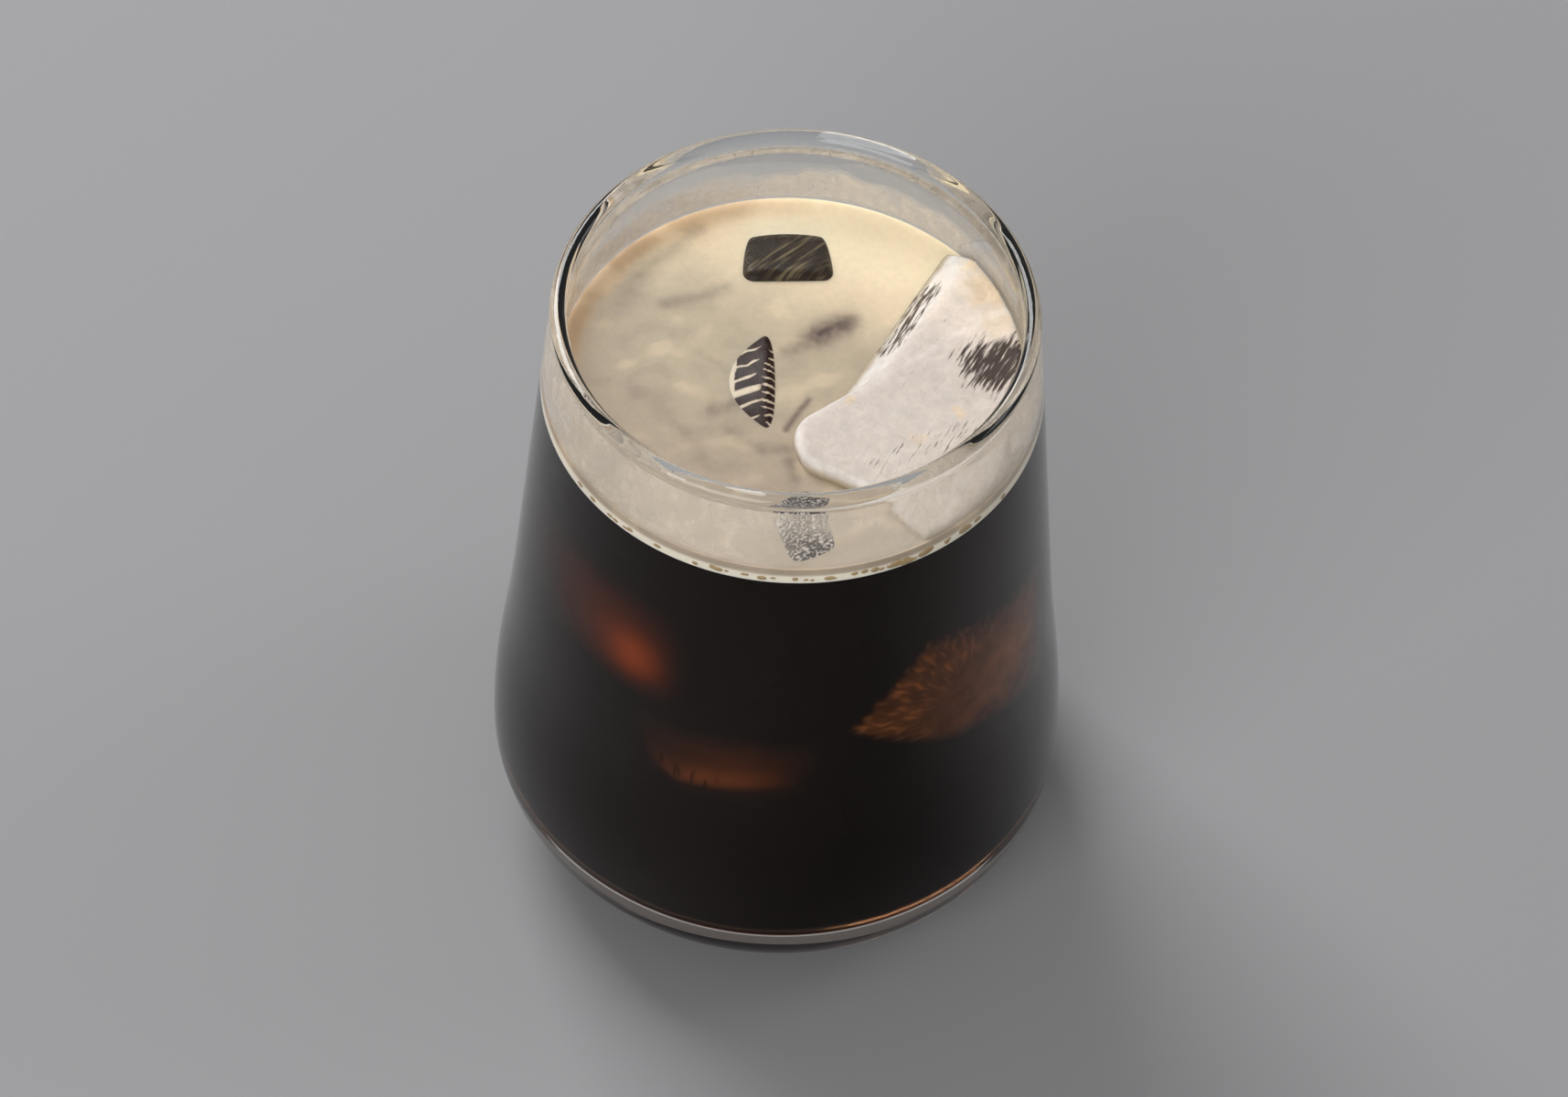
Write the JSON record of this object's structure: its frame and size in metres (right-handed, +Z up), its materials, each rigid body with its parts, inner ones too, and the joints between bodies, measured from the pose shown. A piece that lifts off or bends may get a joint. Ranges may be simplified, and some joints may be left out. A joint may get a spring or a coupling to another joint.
{
  "type": "iced americano",
  "caption": "Iced americano in a stemless tumbler with a rounded belly and a beaded rim: dark coffee, a crema layer and lumps of ice standing proud of it",
  "frame": {"origin": "middle of the flat ring that the glass stands on, on the table", "axes": "+Z up along the glass's axis, -Y towards the front from which the drink is seen, +X to the right, with the big lump of ice at +X"},
  "size_m": [0.09, 0.09, 0.115],
  "materials": {
    "glass": "clear fire-polished soda-lime glass",
    "coffee": "near-black coffee, liquid",
    "crema": "fine tan foam with marbling",
    "ice": "wet melting ice, partly frosted"
  },
  "bodies": {
    "root": {"glass": "glass", "coffee": "coffee", "crema": "crema", "ice_back": "ice", "ice_middle": "ice", "ice_front": "ice", "ice_slab": "ice"}
  },
  "joints": []
}
